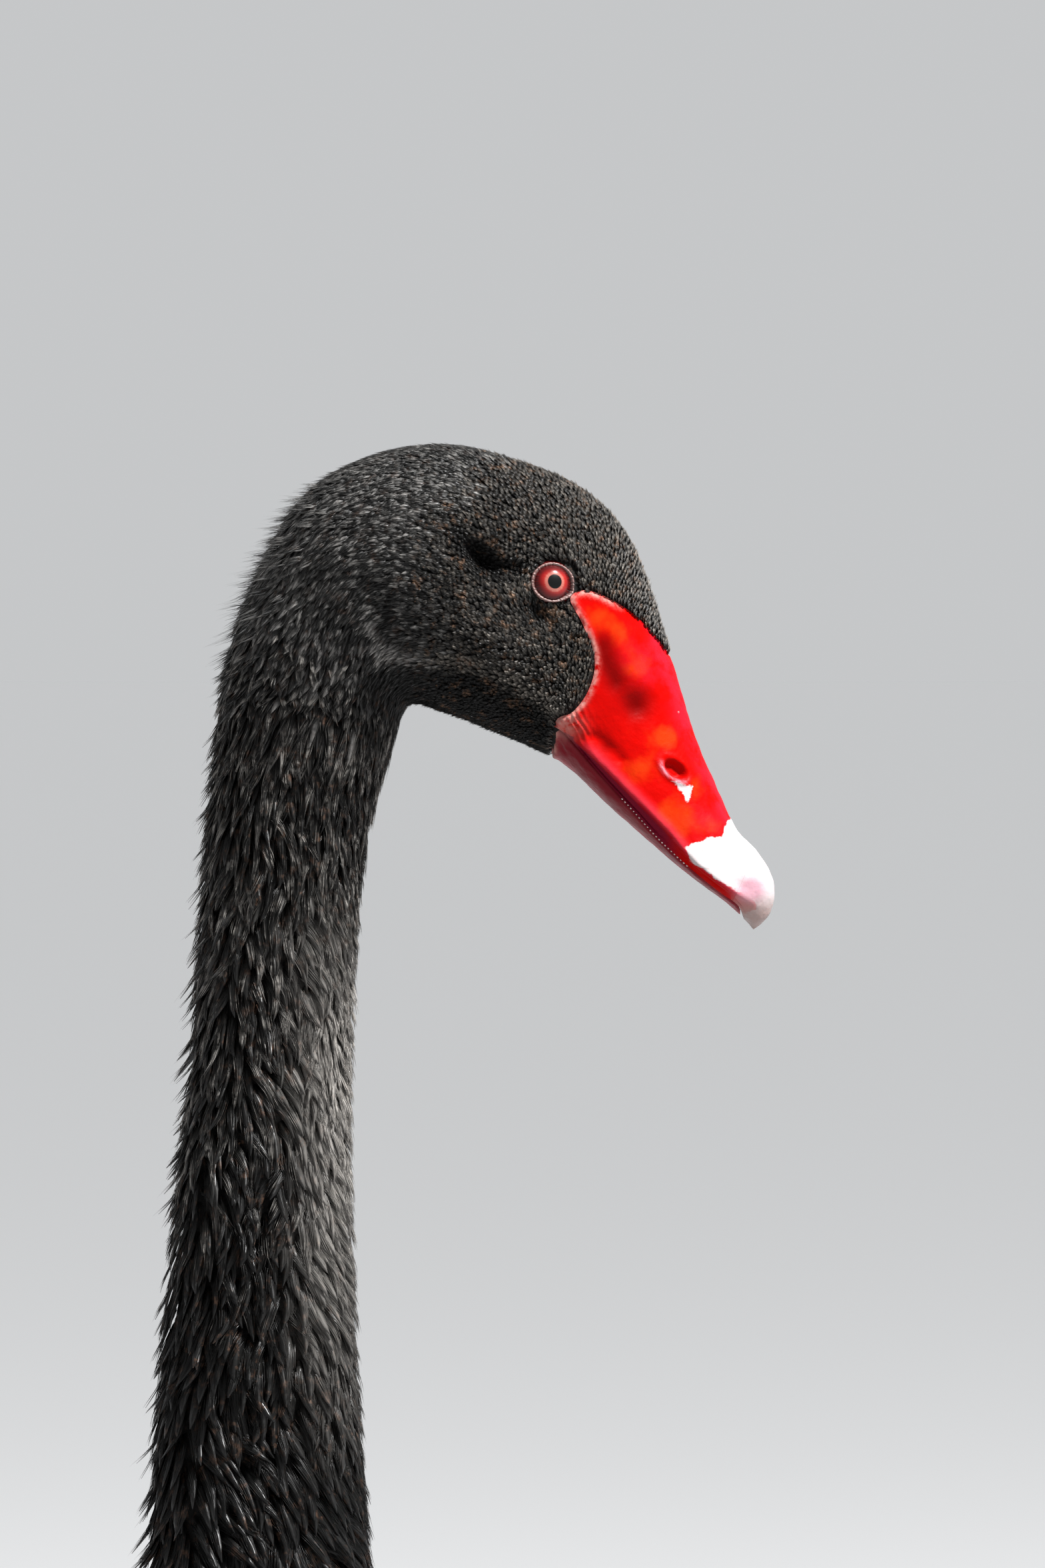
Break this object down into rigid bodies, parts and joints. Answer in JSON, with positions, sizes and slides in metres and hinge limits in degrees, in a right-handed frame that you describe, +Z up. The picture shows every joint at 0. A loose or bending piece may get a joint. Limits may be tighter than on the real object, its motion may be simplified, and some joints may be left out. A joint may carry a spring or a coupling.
{
  "type": "black swan",
  "caption": "Life-size still model of a black swan resting on its belly with an upright neck, folded wings, red bill and feet tucked under.",
  "frame": {"origin": "on the floor, in the middle of the flat that the belly rests on", "axes": "+X the way the bird faces, +Y its left side, +Z up"},
  "size_m": [0.67, 0.2609, 0.7153],
  "materials": {
    "plumage": "soft black body feathers with a brown cast",
    "wing_feather": "satin black vanes with paler grey edges",
    "bill_red": "smooth waxy red",
    "jaw_red": "smooth dark red",
    "nail_horn": "smooth cream horn",
    "iris": "wet red",
    "leg_skin": "scaly black skin"
  },
  "bodies": {
    "root": {"torso": "plumage", "neck_lower": "plumage", "neck_middle": "plumage", "neck_upper": "plumage", "head": "plumage", "eye_left": "iris", "eye_right": "iris", "bill_upper": "bill_red", "bill_nail": "nail_horn", "bill_lower": "jaw_red", "wing_left": "wing_feather", "wing_right": "wing_feather", "tail": "wing_feather", "leg_left": "leg_skin", "leg_right": "leg_skin", "foot_left": "leg_skin", "foot_right": "leg_skin"}
  },
  "joints": []
}
